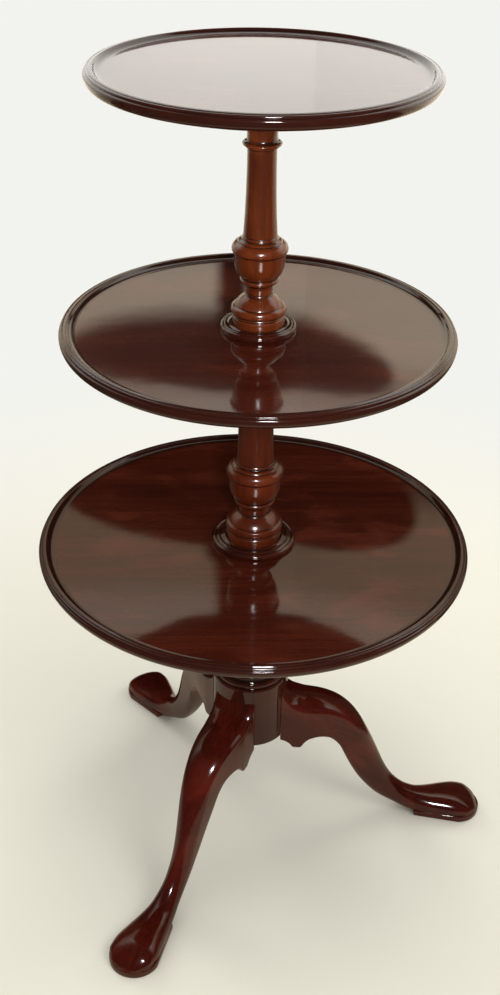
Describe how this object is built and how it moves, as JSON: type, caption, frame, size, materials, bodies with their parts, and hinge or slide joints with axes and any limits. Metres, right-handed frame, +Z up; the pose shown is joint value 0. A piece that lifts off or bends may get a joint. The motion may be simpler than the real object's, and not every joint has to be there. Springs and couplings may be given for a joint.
{
  "type": "three-tier dumbwaiter table",
  "caption": "Tripod serving table: dished round tiers, each smaller than the one below, turn on bearers round a turned stem on cabriole legs with pad feet.",
  "frame": {"origin": "on the floor, at the middle of the footprint's box; the stem's axis is 36 mm from it towards -X", "axes": "+Z up, along the stem; +X along the leg that the picture shows at the right; +Y away from the picture's viewer"},
  "size_m": [0.656, 0.6402, 1.143],
  "materials": {
    "tier_mahogany": "glossy French polish over dark red-brown mahogany, grain from left to right",
    "column_mahogany": "glossy French polish over orange-brown mahogany, grain upright",
    "leg_mahogany": "glossy French polish over very dark red mahogany, grain along the leg",
    "pedestal_mahogany": "glossy French polish over dark mahogany, grain upright",
    "bearer_mahogany": "polished mahogany",
    "collar_mahogany": "glossy French polish over dark mahogany",
    "plate_iron": "dull black wrought iron",
    "screw_iron": "plain iron screw"
  },
  "bodies": {
    "stand": {"pedestal": "pedestal_mahogany", "leg_right": "leg_mahogany", "leg_back": "leg_mahogany", "leg_front": "leg_mahogany", "spider_plate": "plate_iron", "spider_screw_1": "screw_iron", "spider_screw_2": "screw_iron", "spider_screw_3": "screw_iron", "spider_screw_4": "screw_iron", "spider_screw_5": "screw_iron", "spider_screw_6": "screw_iron", "lower_column": "column_mahogany", "upper_column": "column_mahogany"},
    "bottom_turning": {"bottom_tier": "tier_mahogany", "bottom_bearer": "bearer_mahogany", "bottom_collar": "collar_mahogany", "bottom_bearer_screw_1": "screw_iron", "bottom_bearer_screw_2": "screw_iron", "bottom_bearer_screw_3": "screw_iron"},
    "middle_turning": {"middle_tier": "tier_mahogany", "middle_bearer": "bearer_mahogany", "middle_collar": "collar_mahogany", "middle_bearer_screw_1": "screw_iron", "middle_bearer_screw_2": "screw_iron", "middle_bearer_screw_3": "screw_iron"},
    "top_turning": {"top_tier": "tier_mahogany", "top_bearer": "bearer_mahogany", "top_bearer_screw_1": "screw_iron", "top_bearer_screw_2": "screw_iron", "top_bearer_screw_3": "screw_iron"}
  },
  "joints": [
    {"name": "bottom_tier_turn", "type": "hinge", "parent": "stand", "child": "bottom_turning", "pos_m": [-0.036, 0, 0.5], "axis": [0, 0, 1], "continuous": true},
    {"name": "middle_tier_turn", "type": "hinge", "parent": "stand", "child": "middle_turning", "pos_m": [-0.036, 0, 0.8145], "axis": [0, 0, 1], "continuous": true},
    {"name": "top_tier_turn", "type": "hinge", "parent": "stand", "child": "top_turning", "pos_m": [-0.036, 0, 1.129], "axis": [0, 0, 1], "continuous": true}
  ]
}
